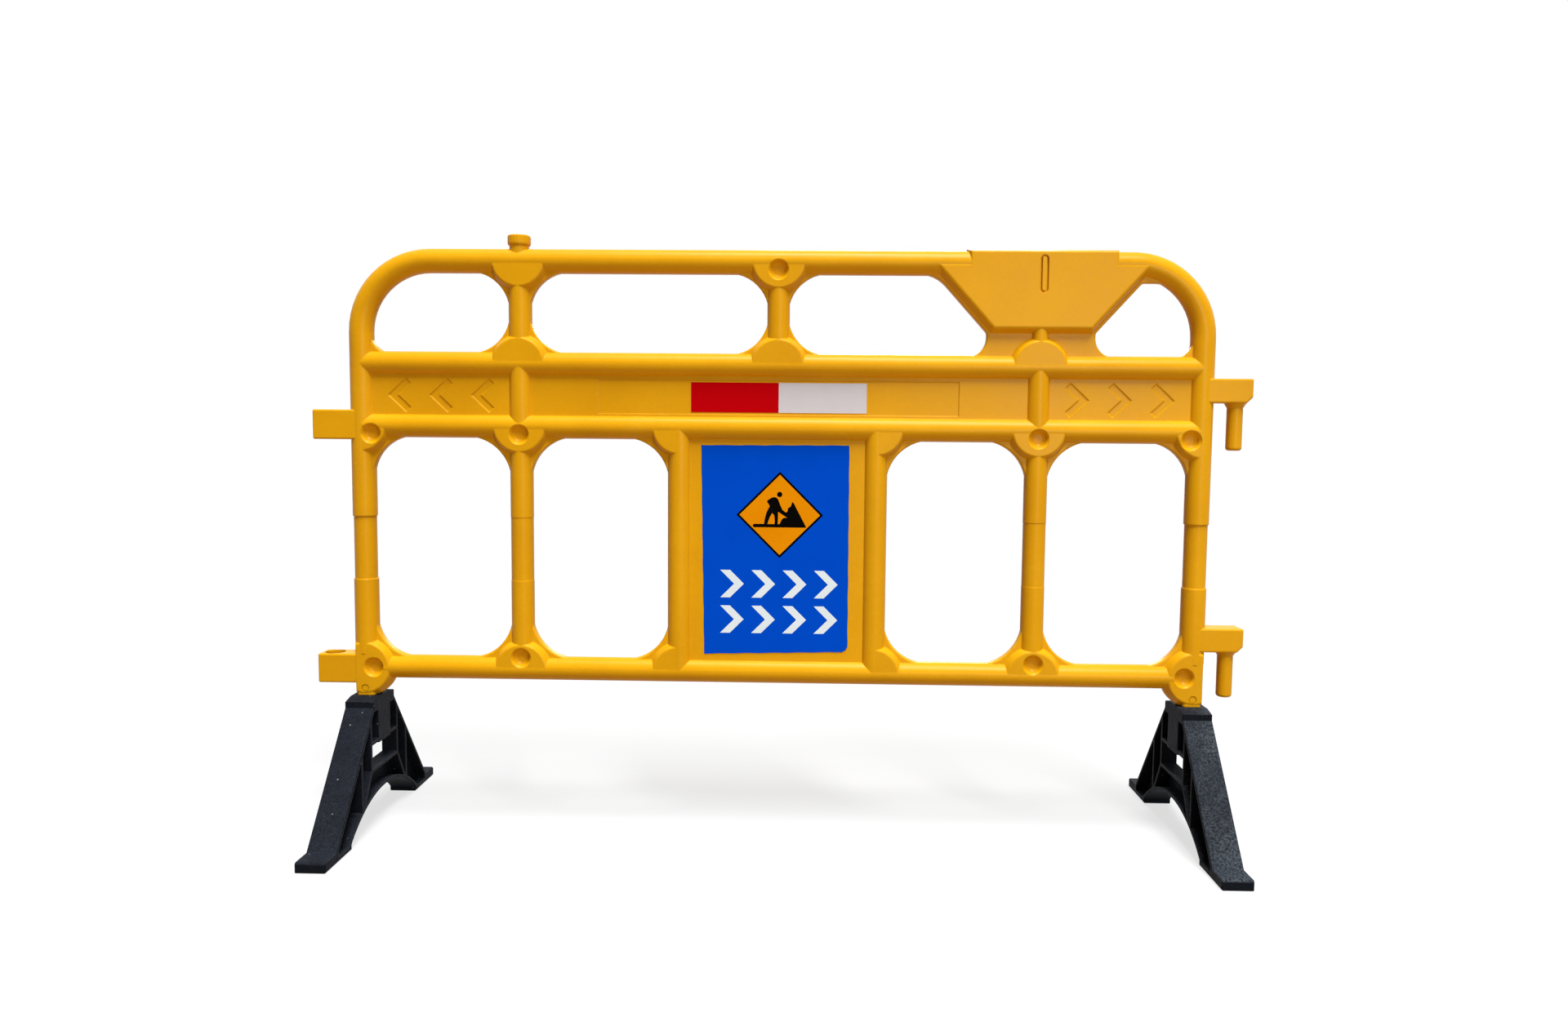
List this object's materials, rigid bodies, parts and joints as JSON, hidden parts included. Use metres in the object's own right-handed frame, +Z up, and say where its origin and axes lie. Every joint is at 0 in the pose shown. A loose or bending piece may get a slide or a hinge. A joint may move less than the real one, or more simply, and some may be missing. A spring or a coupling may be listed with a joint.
{
  "type": "plastic safety barrier",
  "caption": "Yellow hollow plastic road-works barrier of round tubes and windows, with hooks and sockets that link it to the next, a blue sign panel and plug-in black feet.",
  "frame": {"origin": "on the ground, at the middle of the bounding box's footprint", "axes": "+X along the barrier from the socket end to the hook end, +Y from the sign side to the back, +Z up"},
  "size_m": [1.598, 0.476, 1.0222],
  "materials": {
    "yellow_plastic": "moulded, satin",
    "cap_plastic": "moulded, satin",
    "foot_rubber": "moulded from rough recycled rubber, speckled",
    "seal_rubber": "matt",
    "sign_film": "printed film, satin",
    "red_film": "retroreflective tape",
    "white_film": "retroreflective tape"
  },
  "bodies": {
    "barrier": {"frame": "yellow_plastic", "sign_sheet": "sign_film", "red_reflector": "red_film", "white_reflector": "white_film"},
    "left_foot": {"left_foot": "foot_rubber"},
    "right_foot": {"right_foot": "foot_rubber"},
    "cap_gasket": {"fill_cap_gasket": "seal_rubber"},
    "cap": {"fill_cap": "cap_plastic"},
    "left_drain": {"left_drain_plug": "cap_plastic", "left_drain_seal": "seal_rubber"},
    "right_drain": {"right_drain_plug": "cap_plastic", "right_drain_seal": "seal_rubber"}
  },
  "joints": [
    {"name": "left_foot_pull", "type": "slide", "parent": "barrier", "child": "left_foot", "axis": [0, 0, -1], "range_m": [0, 0.085]},
    {"name": "right_foot_pull", "type": "slide", "parent": "barrier", "child": "right_foot", "axis": [0, 0, -1], "range_m": [0, 0.085]},
    {"name": "cap_lift", "type": "slide", "parent": "barrier", "child": "cap_gasket", "axis": [0, 0, 1], "range_m": [0, 0.016]},
    {"name": "cap_turn", "type": "hinge", "parent": "cap_gasket", "child": "cap", "pos_m": [-0.4435, 0, 1.015], "axis": [0, 0, 1], "range_deg": [0, 1440]},
    {"name": "left_drain_pull", "type": "slide", "parent": "barrier", "child": "left_drain", "axis": [0, -1, 0], "range_m": [0, 0.014]},
    {"name": "right_drain_pull", "type": "slide", "parent": "barrier", "child": "right_drain", "axis": [0, -1, 0], "range_m": [0, 0.014]}
  ],
  "couplings": [
    {"joint": "cap_lift", "follows": "cap_turn", "m_per_rad": 0.00063656}
  ]
}
